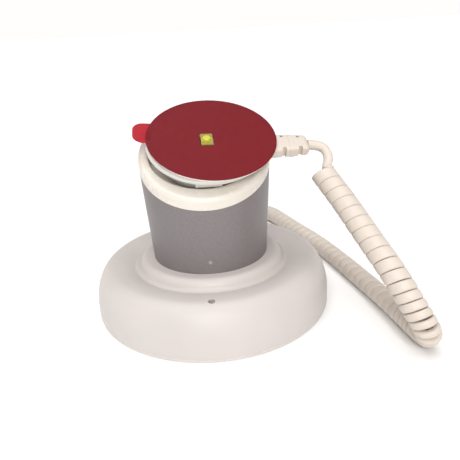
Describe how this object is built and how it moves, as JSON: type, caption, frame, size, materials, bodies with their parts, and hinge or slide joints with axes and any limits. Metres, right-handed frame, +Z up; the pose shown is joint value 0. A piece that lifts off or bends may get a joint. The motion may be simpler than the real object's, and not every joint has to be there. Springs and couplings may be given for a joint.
{
  "type": "anti-theft phone display stand",
  "caption": "Retail alarm stand: domed base, tapered sleeve with a slanted magnetic cup, and an adhesive sensor puck on a curly cord.",
  "frame": {"origin": "centre of the base's underside, where it stands on the counter", "axes": "+Z up, -Y the front, where the slanted cup is lowest; +X the side the cord leaves the puck"},
  "size_m": [0.1176, 0.1407, 0.0752],
  "materials": {
    "white_cover": "satin moulded",
    "grey_sleeve": "satin metallic paint",
    "white_cup": "semi-gloss moulded",
    "puck_plastic": "satin moulded",
    "cord_jacket": "satin extruded",
    "relief_moulding": "satin moulded",
    "red_liner": "glossy film",
    "white_foam": "matt foam",
    "yellow_button": "translucent moulded",
    "clear_lens": "clear",
    "pale_foam": "matt foam",
    "steel": "machined",
    "zinc_screw": "zinc plated",
    "magnet_nickel": "nickel plated",
    "circuit_board": "solder resist",
    "battery_wrap": "foil wrap",
    "black_plastic": "moulded",
    "natural_nylon": "moulded"
  },
  "bodies": {
    "stand": {"base_cover": "white_cover", "base_plate": "steel", "base_screws": "zinc_screw", "foot_pad": "pale_foam", "ballast_weight": "steel", "board_spacers": "natural_nylon", "main_board": "circuit_board", "battery": "battery_wrap", "siren": "black_plastic", "charging_socket": "steel", "indicator_led": "clear_lens", "indicator_lens": "clear_lens", "base_gland": "relief_moulding", "sleeve": "grey_sleeve", "sleeve_light_pipe": "clear_lens", "column": "white_cover", "column_screws": "zinc_screw", "cup_ring": "white_cup", "cup_magnet": "magnet_nickel", "cup_screws": "zinc_screw", "cord_tail_base": "cord_jacket", "cord_coil_lower": "cord_jacket", "cord_coil_upper": "cord_jacket"},
    "puck": {"release_liner": "red_liner", "foam_pad": "white_foam", "puck_lid": "puck_plastic", "puck_shell": "puck_plastic", "puck_screws": "zinc_screw", "puck_armature": "steel", "puck_board": "circuit_board", "detector_switch": "black_plastic", "puck_relief": "relief_moulding", "cord_tail_puck": "cord_jacket"},
    "plunger": {"plunger": "yellow_button"}
  },
  "joints": [
    {"name": "puck_lift", "type": "slide", "parent": "stand", "child": "puck", "axis": [0, -0.4407, 0.8976], "range_m": [0, 0.06], "deforming": ["cord_coil_upper", "cord_coil_lower"]},
    {"name": "plunger_press", "type": "slide", "parent": "puck", "child": "plunger", "axis": [0.0722, -0.4243, 0.9026], "range_m": [-0.001, 0], "stiffness_N_per_m": 300, "springref_m": 0.001}
  ]
}
